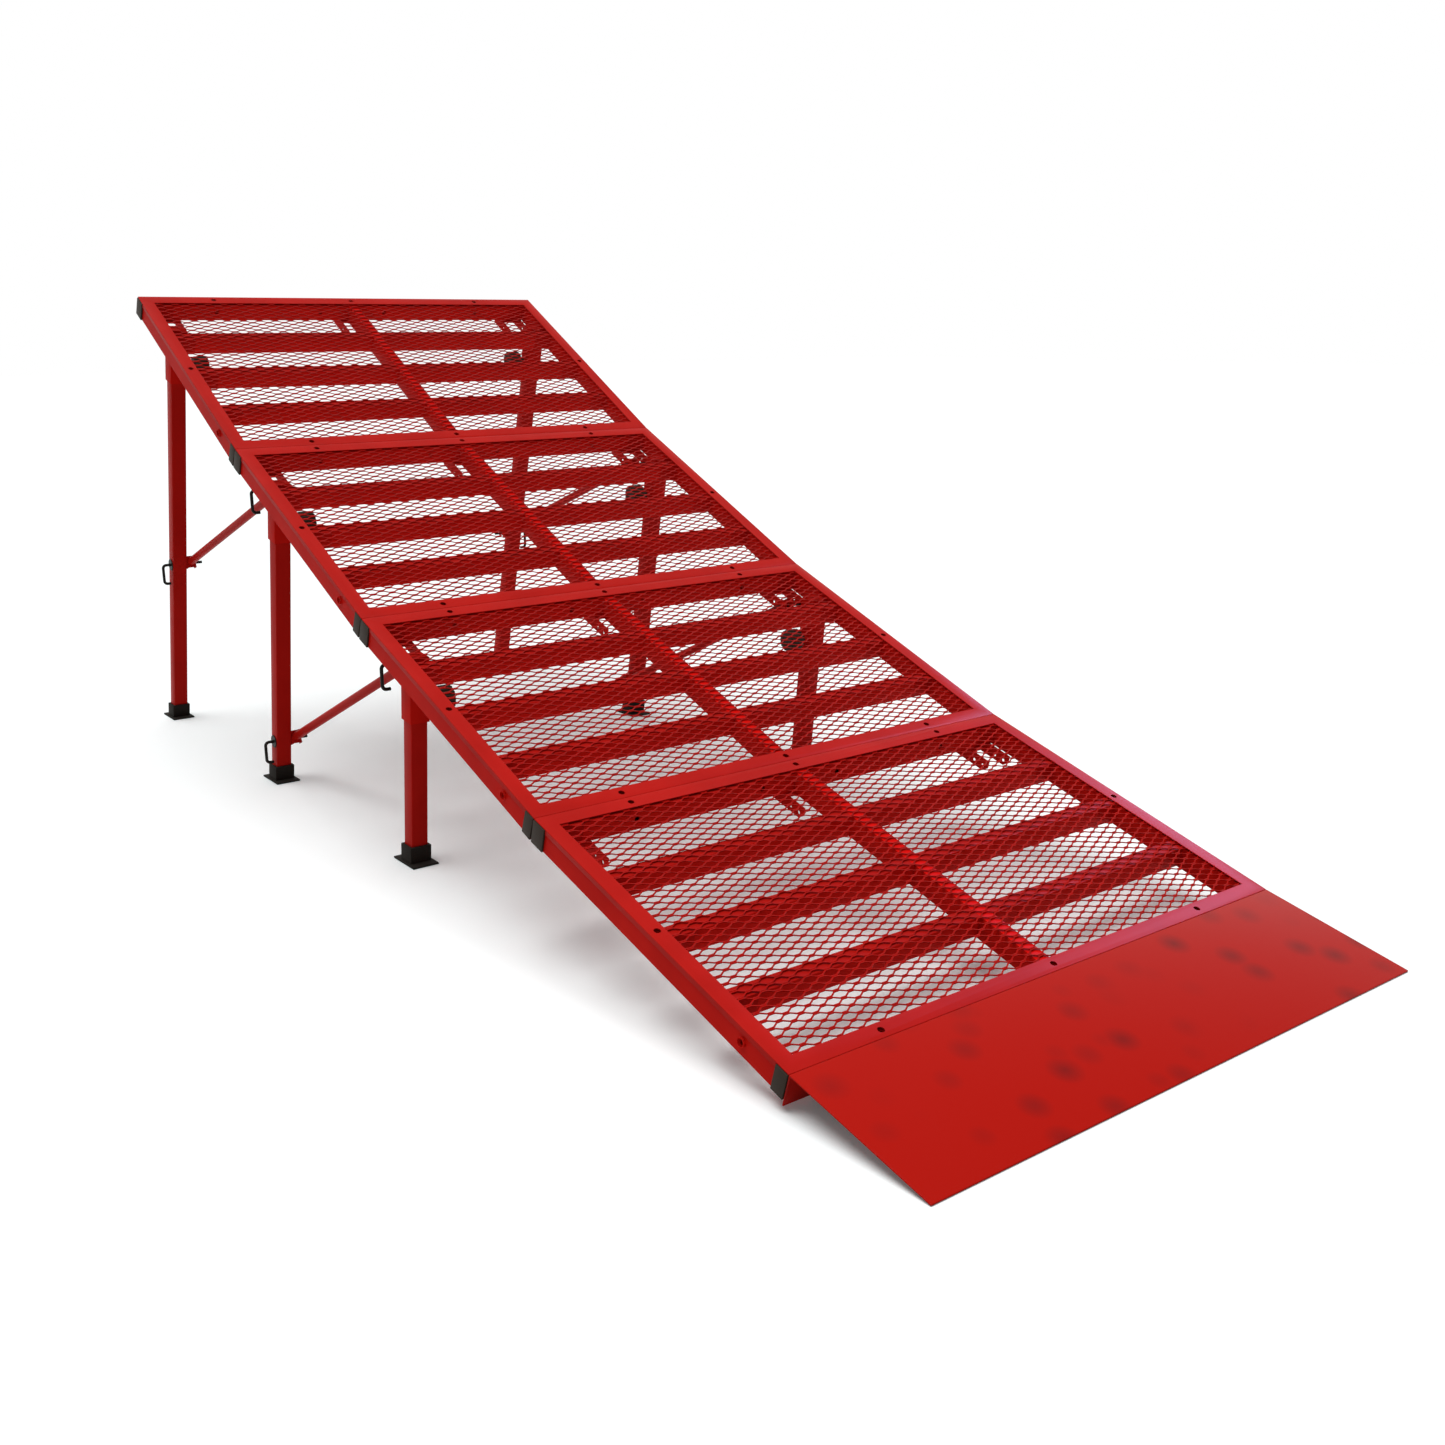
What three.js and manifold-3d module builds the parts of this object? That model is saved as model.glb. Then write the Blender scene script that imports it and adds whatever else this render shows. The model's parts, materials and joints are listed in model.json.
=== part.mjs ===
// Modular curved ramp: four steel deck sections on six legs with braces, and a floor plate.
// Millimetres. X runs across the ramp, Y from the floor plate up to the high end, Z up.
import * as THREE from 'three';
import { mergeVertices } from 'three/addons/utils/BufferGeometryUtils.js';
import ManifoldModule from 'manifold-3d';

// Deck sections
const sectionCount = 4;
const deckWidth = 1220;
const sectionPitch = 757;
const sectionGap = 0.4;
const lowAngle = 15.9;
const angleStep = 4.5;
const deckLowHeight = 69;
const fitGap = 0.3;
const weld = 1;
const overrun = 5;

// Cover sheet
const coverSheet = 2;
const coverStrip = 34;
const coverFlange = 11;

// Mesh panel, drawn with wide cells
const meshThickness = 3;
const meshInset = 10;
const meshStrand = 11;
const meshCellsAcross = 8;
const meshCellsAlong = 3;

// Frame tubes
const frameDepth = 50;
const tubeWidth = 30;
const upperBarWidth = 40;
const tubeWall = 2;
const crossbarCount = 3;

// End caps
const capThickness = 4;
const capPlug = 14;
const capTopInset = 2.6;

// Eyelet bosses on the side rails
const bossRadius = 9;
const bossHeight = 6;
const bossBore = 5.5;
const bossAlong = 112;
const bossDown = 25;

// Hanger brackets under the upper end bar
const hangerWidth = 70;
const hangerSheet = 3;
const hangerLength = 104;
const hangerWebLength = 52;
const hangerDrop = 28;
const hangerNose = 12;
const hangerHolePitch = 27;
const hangerHoleAlong = 89;
const hangerHoleDown = 67;

// Leg sockets
const legTube = 38;
const legWall = 2.5;
const socketWall = 3;
const socketFromTop = 149.5;
const socketLean = 13.65;
const socketStart = 13;
const socketEnd = 158;
const socketSink = 0.5;

// Feet
const bootHeight = 42;
const bootTop = 44;
const bootBase = 50;
const footFlangeX = 62;
const footFlangeY = 99;
const footFlangeThickness = 4;
const soleThickness = 6;

// Clamping knobs
const knobDown = 118;
const knobRadius = 28;
const knobLength = 38;
const knobReach = 62;
const knobRound = 5;
const knobHub = 11;
const knobStem = 5;
const nutRadius = 11;
const nutHeight = 8;

// Pull pins
const pinWire = 4;
const pinRise = 111.6;
const pinTip = 18;
const pinHandleOut = 24;
const pinHandleDrop = 54;
const pinBend = 9;
const pinFreeEnd = 6;
const washerRadius = 16.5;
const washerThickness = 2.5;

// Braces
const braceRadius = 11;
const braceWall = 2;
const braceForkWidth = 26;
const braceForkSheet = 3;
const braceForkRadius = 18;
const braceWebReach = 20;
const braceLegGap = 0.5;
const hookFlare = 40;

// Floor plate
const plateRun = 298;
const plateSheet = 3;
const plateFlange = 44;

// Facets
const roundSides = 12;
const holeSides = 8;
const nutSides = 6;
const wireSides = 6;
const bendSteps = 3;
const mergeDistance = 0.0001;

// Derived places
const railOuter = deckWidth / 2 - coverSheet - fitGap;
const railInner = railOuter - tubeWidth;
const meshTop = -coverSheet - fitGap;
const frameTop = meshTop - meshThickness - fitGap;
const sectionStart = sectionGap / 2;
const sectionFinish = sectionPitch - sectionGap / 2;
const socketHalf = legTube / 2 + fitGap + socketWall;
const legX = railInner + socketSink - socketHalf;
const legInnerFace = legX - legTube / 2;
const legOuterFace = legX + legTube / 2;
const hangerX = legOuterFace - hangerWidth / 2;
const braceX = legInnerFace - braceLegGap - braceForkWidth / 2;
const pinHole = pinWire + fitGap;

const wasm = await ManifoldModule();
wasm.setup();

// Solids and geometries
function toSolid(geometry) {
  const bare = geometry.clone();
  bare.deleteAttribute('normal');
  bare.deleteAttribute('uv');
  const merged = mergeVertices(bare, mergeDistance);
  return new wasm.Manifold(new wasm.Mesh({
    numProp: 3,
    vertProperties: new Float32Array(merged.attributes.position.array),
    triVerts: new Uint32Array(merged.index.array),
  }));
}

function toGeometry(solid) {
  const mesh = solid.getMesh();
  const geometry = new THREE.BufferGeometry();
  geometry.setAttribute('position', new THREE.BufferAttribute(new Float32Array(mesh.vertProperties), 3));
  geometry.setIndex(new THREE.BufferAttribute(new Uint32Array(mesh.triVerts), 1));
  geometry.computeVertexNormals();
  return geometry;
}

function join(solids) {
  return solids.reduce((whole, solid) => whole.add(solid));
}

function cut(solid, tools) {
  return tools.reduce((whole, tool) => whole.subtract(tool), solid);
}

function block(x0, x1, y0, y1, z0, z1) {
  const geometry = new THREE.BoxGeometry(x1 - x0, y1 - y0, z1 - z0);
  geometry.translate((x0 + x1) / 2, (y0 + y1) / 2, (z0 + z1) / 2);
  return toSolid(geometry);
}

// A cylinder across the ramp
function crossRod(radius, x0, x1, y, z, sides = roundSides) {
  const geometry = new THREE.CylinderGeometry(radius, radius, x1 - x0, sides);
  geometry.rotateZ(Math.PI / 2);
  geometry.translate((x0 + x1) / 2, y, z);
  return toSolid(geometry);
}

// A tool for a hole across the ramp, its flats outside the given radius
function drill(radius, x0, x1, y, z) {
  return crossRod(radius / Math.cos(Math.PI / holeSides), x0, x1, y, z, holeSides);
}

// An outline drawn in Y and Z, extruded across the ramp
const acrossRamp = new THREE.Matrix4().makeBasis(
  new THREE.Vector3(0, 1, 0), new THREE.Vector3(0, 0, 1), new THREE.Vector3(1, 0, 0));

function sidePlate(points, x0, x1) {
  const shape = new THREE.Shape(points.map(([y, z]) => new THREE.Vector2(y, z)));
  const geometry = new THREE.ExtrudeGeometry(shape, { depth: x1 - x0, bevelEnabled: false });
  geometry.applyMatrix4(acrossRamp);
  geometry.translate(x0, 0, 0);
  return toSolid(geometry);
}

function rectangle(x0, x1, y0, y1) {
  return [new THREE.Vector2(x0, y0), new THREE.Vector2(x1, y0),
    new THREE.Vector2(x1, y1), new THREE.Vector2(x0, y1)];
}

function slab(shape, z0, z1) {
  const geometry = new THREE.ExtrudeGeometry(shape, { depth: z1 - z0, bevelEnabled: false });
  geometry.translate(0, 0, z0);
  return toSolid(geometry);
}

function arcPoints(y, z, radius, fromDegrees, toDegrees, steps) {
  const points = [];
  for (let i = 0; i <= steps; i++) {
    const angle = THREE.MathUtils.degToRad(fromDegrees + (toDegrees - fromDegrees) * i / steps);
    points.push([y + radius * Math.cos(angle), z + radius * Math.sin(angle)]);
  }
  return points;
}

function placed(solid, matrix) {
  return solid.transform(matrix.elements);
}

// Places of the sections, legs and pins in the ramp's side view
function sectionAngle(index) {
  return THREE.MathUtils.degToRad(lowAngle + angleStep * index);
}

function sectionOrigin(index) {
  let y = 0;
  let z = deckLowHeight;
  for (let i = 0; i < index; i++) {
    y += sectionPitch * Math.cos(sectionAngle(i));
    z += sectionPitch * Math.sin(sectionAngle(i));
  }
  return { y, z };
}

function inSection(index, along, up) {
  const angle = sectionAngle(index);
  const origin = sectionOrigin(index);
  return {
    y: origin.y + along * Math.cos(angle) - up * Math.sin(angle),
    z: origin.z + along * Math.sin(angle) + up * Math.cos(angle),
  };
}

const socketAngle = THREE.MathUtils.degToRad(socketLean);

function legPlace(index) {
  const lean = sectionAngle(index) - socketAngle;
  const top = inSection(index, sectionPitch - socketFromTop, 0);
  const length = top.z / Math.cos(lean);
  const floor = top.y + length * Math.sin(lean);
  return { lean, top, length, floor };
}

function onLeg(index, down) {
  const { lean, top } = legPlace(index);
  return { y: top.y + down * Math.sin(lean), z: top.z - down * Math.cos(lean) };
}

// The braced legs are drilled at one distance, set by the shorter of them
const pinDown = legPlace(sectionCount - 2).length - pinRise;

function bracePlace(index) {
  const low = onLeg(index, pinDown);
  const high = inSection(index - 1, sectionPitch - hangerHoleAlong, -hangerHoleDown);
  const length = Math.hypot(low.y - high.y, low.z - high.z);
  return { low, high, length, slope: Math.atan2(high.z - low.z, low.y - high.y) };
}

// Welded tube frame of one section
function crossbarStarts() {
  const clear = sectionFinish - sectionStart - tubeWidth - upperBarWidth - crossbarCount * tubeWidth;
  const window = clear / (crossbarCount + 1);
  const starts = [];
  for (let i = 0; i < crossbarCount; i++) {
    starts.push(sectionStart + tubeWidth + window + i * (tubeWidth + window));
  }
  return starts;
}

function hanger(centre) {
  const rear = sectionFinish - tubeWall;
  const front = sectionPitch - hangerLength;
  const barFront = sectionFinish - upperBarWidth;
  const top = -frameDepth;
  const bottom = top - hangerDrop;
  const outline = [[rear, top + weld], [barFront, top + weld], [barFront, top], [front, top],
    [front, -hangerHoleDown], [front + hangerNose, bottom], [rear, bottom]];
  const left = centre - hangerWidth / 2;
  const right = centre + hangerWidth / 2;
  const plates = join([
    sidePlate(outline, left, left + hangerSheet),
    sidePlate(outline, right - hangerSheet, right),
    block(left, right, sectionPitch - hangerWebLength, rear - weld, top - hangerSheet, top + weld / 2),
  ]);
  const holes = [hangerHoleAlong, hangerHoleAlong - hangerHolePitch].map((along) =>
    drill(pinHole, left - overrun, right + overrun, sectionPitch - along, -hangerHoleDown));
  return cut(plates, holes);
}

function socketMatrix(side) {
  return new THREE.Matrix4()
    .makeTranslation(side * legX, sectionPitch - socketFromTop, 0)
    .multiply(new THREE.Matrix4().makeRotationX(-socketAngle));
}

function socket(side) {
  const outer = block(-socketHalf, socketHalf, -socketHalf, socketHalf, -socketEnd, -socketStart);
  const nutFace = -side * socketHalf;
  const nutEnd = nutFace - side * nutHeight;
  const nut = crossRod(nutRadius, Math.min(nutEnd, nutFace + side * weld),
    Math.max(nutEnd, nutFace + side * weld), 0, -knobDown, nutSides);
  return placed(join([outer, nut]), socketMatrix(side));
}

function socketCut(side) {
  const bore = legTube / 2 + fitGap;
  const hollow = block(-bore, bore, -bore, bore, -socketEnd - overrun, -socketStart - socketWall);
  const near = -side * bore + side * overrun;
  const far = -side * (socketHalf + nutHeight + overrun);
  const hole = drill(knobStem + fitGap, Math.min(near, far), Math.max(near, far), 0, -knobDown);
  return placed(join([hollow, hole]), socketMatrix(side));
}

// Openings of the frame, seen from above, two between each pair of crossbars
function frameWindows() {
  const rows = [sectionStart, ...crossbarStarts()];
  return rows.flatMap((row, i) => {
    const next = i + 1 < rows.length ? rows[i + 1] : sectionFinish - upperBarWidth;
    return [[-railInner, -tubeWidth / 2], [tubeWidth / 2, railInner]].map(([x0, x1]) =>
      [x0, x1, row + tubeWidth, next]);
  });
}

function frameOutside() {
  return cut(block(-railOuter, railOuter, sectionStart, sectionFinish, -frameDepth, frameTop),
    frameWindows().map(([x0, x1, y0, y1]) =>
      block(x0, x1, y0, y1, -frameDepth - overrun, frameTop + overrun)));
}

// The end bars are open at their ends, the side rails are walled
function frameHollow() {
  const out = railOuter + overrun;
  const past = out + overrun;
  const railEnds = [sectionStart + tubeWidth, sectionFinish - upperBarWidth];
  const walls = [...frameWindows(), [-past, -railOuter, ...railEnds], [railOuter, past, ...railEnds]];
  const inside = block(-out, out, sectionStart + tubeWall, sectionFinish - tubeWall,
    tubeWall - frameDepth, frameTop - tubeWall);
  return cut(inside, walls.map(([x0, x1, y0, y1]) => block(x0 - tubeWall, x1 + tubeWall,
    y0 - tubeWall, y1 + tubeWall, -frameDepth - overrun, frameTop + overrun)));
}

function boss(side) {
  const inner = side * (railOuter - tubeWall / 2);
  const face = side * (railOuter + bossHeight);
  return crossRod(bossRadius, Math.min(inner, face), Math.max(inner, face), bossAlong, -bossDown);
}

function bossCut(side) {
  const deep = side * (railOuter - tubeWall - overrun);
  const clear = side * (railOuter + bossHeight + overrun);
  return drill(bossBore, Math.min(deep, clear), Math.max(deep, clear), bossAlong, -bossDown);
}

function frameGeometry(hasSockets) {
  const sides = [-1, 1];
  const sockets = hasSockets ? sides : [];
  const hangers = [0, -hangerX, hangerX].map(hanger);
  const tubes = frameOutside().subtract(frameHollow());
  const whole = join([tubes, ...hangers, ...sides.map(boss), ...sockets.map(socket)]);
  return toGeometry(cut(whole, [...sides.map(bossCut), ...sockets.map(socketCut)]));
}

// Folded cover sheet with its opening
function coverGeometry() {
  const half = deckWidth / 2;
  const sheet = new THREE.Shape(rectangle(-half, half, sectionStart, sectionFinish));
  sheet.holes.push(new THREE.Path(rectangle(-half + coverStrip, half - coverStrip,
    sectionStart + coverStrip, sectionFinish - coverStrip)));
  const flangeStart = sectionStart + tubeWidth + fitGap;
  const flangeFinish = sectionFinish - upperBarWidth - fitGap;
  const flanges = [
    block(-half, -half + coverSheet, flangeStart, flangeFinish, -coverFlange, -coverSheet),
    block(half - coverSheet, half, flangeStart, flangeFinish, -coverFlange, -coverSheet),
  ];
  return toGeometry(join([slab(sheet, -coverSheet, 0), ...flanges]));
}

// Diamond mesh panel
function meshGeometry() {
  const halfX = deckWidth / 2 - meshInset;
  const y0 = sectionStart + meshInset / 2;
  const y1 = sectionFinish - meshInset / 2;
  const panel = new THREE.Shape(rectangle(-halfX, halfX, y0, y1));
  const openX = deckWidth / 2 - coverStrip;
  const openY0 = sectionStart + coverStrip;
  const openY1 = sectionFinish - coverStrip;
  const pitchX = 2 * openX / meshCellsAcross;
  const pitchY = (openY1 - openY0) / meshCellsAlong;
  for (let row = 0; row < 2 * meshCellsAlong - 1; row++) {
    const cells = meshCellsAcross - row % 2;
    for (let i = 0; i < cells; i++) {
      const x = -openX + pitchX * (i + (1 + row % 2) / 2);
      const y = openY0 + pitchY * (row + 1) / 2;
      const reachX = pitchX / 2 - meshStrand;
      const reachY = pitchY / 2 - meshStrand;
      panel.holes.push(new THREE.Path([new THREE.Vector2(x - reachX, y), new THREE.Vector2(x, y - reachY),
        new THREE.Vector2(x + reachX, y), new THREE.Vector2(x, y + reachY)]));
    }
  }
  return toGeometry(slab(panel, meshTop - meshThickness, meshTop));
}

// Plastic cap in the open end of an end bar
function capGeometry(side, start, width) {
  const inside = tubeWall + fitGap;
  const seat = side * (railOuter + fitGap);
  const face = seat + side * capThickness;
  const root = seat - side * capPlug;
  const step = seat + side * weld;
  return toGeometry(join([
    block(Math.min(seat, face), Math.max(seat, face), start + fitGap, start + width - fitGap,
      -frameDepth, -capTopInset),
    block(Math.min(root, step), Math.max(root, step), start + inside, start + width - inside,
      -frameDepth + inside, frameTop - inside),
  ]));
}

// Square leg tube in its own frame, top of the deck at zero
function legEnd(index) {
  const { lean, length } = legPlace(index);
  return length - (soleThickness + legTube / 2 * Math.sin(lean)) / Math.cos(lean);
}

function hasBrace(index) {
  return index >= sectionCount - 2;
}

function legGeometry(index) {
  const half = legTube / 2;
  const bore = half - legWall;
  const start = -socketStart - socketWall - fitGap;
  const finish = -legEnd(index);
  const cuts = [block(-bore, bore, -bore, bore, finish - overrun, start + overrun)];
  if (hasBrace(index)) {
    cuts.push(drill(pinHole, -half - overrun, half + overrun, 0, -pinDown));
  }
  return toGeometry(cut(block(-half, half, -half, half, finish, start), cuts));
}

// Rubber foot, flat on the floor, origin where the leg's axis meets the floor
function footGeometry(index) {
  const { lean } = legPlace(index);
  const shift = -bootHeight * Math.tan(lean);
  const boot = new THREE.BoxGeometry(bootBase, bootBase, bootHeight);
  boot.translate(0, 0, bootHeight / 2);
  const points = boot.attributes.position;
  for (let i = 0; i < points.count; i++) {
    if (points.getZ(i) > bootHeight / 2) {
      points.setX(i, points.getX(i) * bootTop / bootBase);
      points.setY(i, points.getY(i) * bootTop / bootBase + shift);
    }
  }
  const flange = block(-footFlangeX / 2, footFlangeX / 2, -footFlangeY / 2, footFlangeY / 2,
    0, footFlangeThickness);
  const bore = legTube / 2 + fitGap;
  const rise = legPlace(index).length - legEnd(index) - fitGap;
  const recess = placed(block(-bore, bore, -bore, bore, rise, rise + bootHeight + overrun),
    new THREE.Matrix4().makeRotationX(lean));
  return toGeometry(cut(join([toSolid(boot), flange]), [recess]));
}

// Clamping knob on its threaded stem, turning about X
function knobGeometry(side) {
  const body = knobReach - knobLength;
  const tip = socketWall;
  const profile = [[0, -knobReach], [knobRadius - knobRound, -knobReach],
    [knobRadius, -knobReach + knobRound], [knobRadius, -body - knobRound],
    [knobRadius - knobRound, -body], [knobHub, -body + fitGap], [knobHub, -nutHeight - fitGap],
    [knobStem, -nutHeight - fitGap], [knobStem, tip], [0, tip]];
  const geometry = new THREE.LatheGeometry(profile.map(([r, y]) => new THREE.Vector2(r, y)), roundSides);
  geometry.rotateZ(-side * Math.PI / 2);
  return toGeometry(toSolid(geometry));
}

// A round wire bent in the X and Z plane, mitred at each point
function bentWire(points, radius) {
  const direction = (i) => {
    const dx = points[i + 1][0] - points[i][0];
    const dz = points[i + 1][1] - points[i][1];
    const length = Math.hypot(dx, dz);
    return [dx / length, dz / length];
  };
  const last = points.length - 1;
  const positions = [];
  points.forEach(([x, z], i) => {
    const before = direction(Math.max(i - 1, 0));
    const after = direction(Math.min(i, last - 1));
    const sum = [before[0] + after[0], before[1] + after[1]];
    const size = Math.hypot(sum[0], sum[1]);
    const tangent = [sum[0] / size, sum[1] / size];
    const mitre = 1 / (tangent[0] * after[0] + tangent[1] * after[1]);
    for (let j = 0; j < wireSides; j++) {
      const angle = 2 * Math.PI * j / wireSides;
      const swing = radius * mitre * Math.cos(angle);
      positions.push(x - tangent[1] * swing, -radius * Math.sin(angle), z + tangent[0] * swing);
    }
  });
  const index = [];
  for (let i = 0; i < last; i++) {
    for (let j = 0; j < wireSides; j++) {
      const a = i * wireSides + j;
      const b = i * wireSides + (j + 1) % wireSides;
      index.push(a, b, b + wireSides, a, b + wireSides, a + wireSides);
    }
  }
  for (let j = 1; j + 1 < wireSides; j++) {
    index.push(0, j + 1, j);
    index.push(last * wireSides, last * wireSides + j, last * wireSides + j + 1);
  }
  const geometry = new THREE.BufferGeometry();
  geometry.setAttribute('position', new THREE.BufferAttribute(new Float32Array(positions), 3));
  geometry.setIndex(index);
  return toSolid(geometry);
}

// Pull pin bent from one wire, from its tip out to the handle, which hangs down.
// Its own origin is where its axis meets the outer face that the washer lies on.
function pinGeometry(side) {
  const bend = (x, z, from, to) => arcPoints(x, z, pinBend, from, to, bendSteps);
  const out = pinHandleOut - pinBend;
  const centre = [[-hangerWidth - pinTip, 0], ...bend(out, -pinBend, 90, 0),
    ...bend(out, pinBend - pinHandleDrop, 0, -90), [pinFreeEnd, -pinHandleDrop]];
  const wire = bentWire(centre.map(([x, z]) => [side * x, z]), pinWire);
  const near = side * fitGap;
  const far = side * (fitGap + washerThickness);
  const washer = crossRod(washerRadius, Math.min(near, far), Math.max(near, far), 0, 0);
  return toGeometry(join([wire, washer]));
}

// Brace tube with a closed fork at its upper pin and a hook over its lower pin.
// Its own origin is the upper pin, Y along the tube.
function forkPlates(outline, web0, web1) {
  const half = braceForkWidth / 2;
  return join([
    sidePlate(outline, -half, -half + braceForkSheet),
    sidePlate(outline, half - braceForkSheet, half),
    block(-half + weld, half - weld, web0, web1, weld - braceForkRadius, braceForkRadius - weld),
  ]);
}

// The mouth of the lower hook, open downward
function hookMouth(length) {
  const flare = THREE.MathUtils.degToRad(hookFlare);
  const drop = braceForkRadius + overrun;
  const lipY = length + pinHole * Math.cos(flare);
  const lipZ = pinHole * Math.sin(flare);
  return sidePlate([[length - pinHole, 0], [length - pinHole, -drop],
    [lipY + (drop + lipZ) * Math.tan(flare), -drop], [lipY, lipZ], [length, pinHole / 2],
  ], -braceForkRadius, braceForkRadius);
}

function braceGeometry(index) {
  const { length } = bracePlace(index);
  const r = braceForkRadius;
  const web = braceWebReach;
  const upper = forkPlates([...arcPoints(0, 0, r, 90, 270, roundSides / 2), [web, -r], [web, r]],
    web - braceForkSheet, web);
  const lower = forkPlates([...arcPoints(length, 0, r, -90, 90, roundSides / 2),
    [length - web, r], [length - web, -r]], length - web, length - web + braceForkSheet);
  const tube = (radius, from, to) => {
    const geometry = new THREE.CylinderGeometry(radius, radius, to - from, roundSides);
    geometry.translate(0, (from + to) / 2, 0);
    return toSolid(geometry);
  };
  const tools = [
    tube(braceRadius - braceWall, web - braceForkSheet - overrun, length - web + braceForkSheet + overrun),
    drill(pinHole, -r, r, 0, 0),
    drill(pinHole, -r, r, length, 0),
    hookMouth(length),
  ];
  return toGeometry(cut(join([upper, lower, tube(braceRadius, web - weld, length - web + weld)]), tools));
}

// Floor plate, one bent sheet from the floor to the first end bar
function plateGeometry() {
  const rear = -sectionGap / 2;
  const top = inSection(0, rear, 0);
  const bottomRear = inSection(0, rear, -plateFlange);
  const bottomFront = inSection(0, rear - plateSheet, -plateFlange);
  const slope = Math.atan2(top.z, plateRun);
  const toe = plateSheet / Math.cos(slope);
  const angle = sectionAngle(0);
  const rise = Math.atan2(top.z - toe, top.y + plateRun);
  const lift = bottomFront.z;
  const drift = bottomFront.y + plateRun;
  const reach = (drift * Math.tan(rise) - lift)
    / (Math.cos(angle) + Math.sin(angle) * Math.tan(rise));
  const bend = { y: bottomFront.y - reach * Math.sin(angle), z: bottomFront.z + reach * Math.cos(angle) };
  return toGeometry(sidePlate([[-plateRun, 0], [bend.y, bend.z], [bottomFront.y, bottomFront.z],
    [bottomRear.y, bottomRear.z], [top.y, top.z], [-plateRun, toe]], -deckWidth / 2, deckWidth / 2));
}

// Finishes
const finish = (color, roughness, metalness) => () => new THREE.MeshStandardMaterial({ color, roughness, metalness });
const redPowder = finish('#b3241c', 0.5, 0.1);
const redMesh = finish('#8c1410', 0.55, 0.1);
const redPlate = finish('#b8201a', 0.25, 0.1);
const blackPlastic = finish('#2b2521', 0.6, 0);
const blackRubber = finish('#1c1a18', 0.85, 0);
const blackSteel = finish('#161514', 0.4, 0.6);

const ramp = new THREE.Group();
ramp.name = 'jump_ramp';
const rear = legPlace(sectionCount - 1).floor + footFlangeY / 2;
ramp.position.y = (plateRun - rear) / 2;

function add(parent, name, geometry, material, x = 0, y = 0, z = 0, turn = 0) {
  const mesh = new THREE.Mesh(geometry, material());
  mesh.name = name;
  mesh.position.set(x, y, z);
  mesh.rotation.x = turn;
  parent.add(mesh);
}

add(ramp, 'floor_plate', plateGeometry(), redPlate);
const sides = [['left', -1], ['right', 1]];
for (let i = 0; i < sectionCount; i++) {
  const label = i + 1;
  const origin = sectionOrigin(i);
  const section = new THREE.Group();
  section.position.set(0, origin.y, origin.z);
  section.rotation.x = sectionAngle(i);
  ramp.add(section);
  const hasLegs = i > 0;
  add(section, `frame_${label}`, frameGeometry(hasLegs), redPowder);
  add(section, `mesh_${label}`, meshGeometry(), redMesh);
  add(section, `cover_${label}`, coverGeometry(), redPowder);
  for (const [word, side] of sides) {
    add(section, `cap_${label}_low_${word}`, capGeometry(side, sectionStart, tubeWidth), blackPlastic);
    add(section, `cap_${label}_high_${word}`,
      capGeometry(side, sectionFinish - upperBarWidth, upperBarWidth), blackPlastic);
    if (!hasLegs) {
      continue;
    }
    const leg = legPlace(i);
    add(ramp, `leg_${label}_${word}`, legGeometry(i), redPowder, side * legX, leg.top.y, leg.top.z, leg.lean);
    add(ramp, `foot_${label}_${word}`, footGeometry(i), blackRubber, side * legX, leg.floor, 0);
    const knob = onLeg(i, knobDown);
    add(ramp, `knob_${label}_${word}`, knobGeometry(side), blackPlastic,
      side * (legX - socketHalf), knob.y, knob.z, leg.lean);
    if (!hasBrace(i)) {
      continue;
    }
    const brace = bracePlace(i);
    add(ramp, `brace_${label}_${word}`, braceGeometry(i), redPowder,
      side * braceX, brace.high.y, brace.high.z, -brace.slope);
    add(ramp, `pin_${label}_low_${word}`, pinGeometry(side), blackSteel,
      side * legOuterFace, brace.low.y, brace.low.z);
    add(ramp, `pin_${label}_high_${word}`, pinGeometry(side), blackSteel,
      side * legOuterFace, brace.high.y, brace.high.z);
  }
}

export default ramp;
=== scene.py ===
"""Modular steel jump ramp, dressed for the render.

Metres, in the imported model's frame: X across the ramp, Y from the floor plate up to the high
end, Z up. Sections are numbered from the lowest. A section's own frame has its origin at the
lower end of its deck top, Y along the deck and Z square to it.
"""
import json
import math

import bmesh
import bpy
from mathutils import Matrix, Vector


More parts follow.
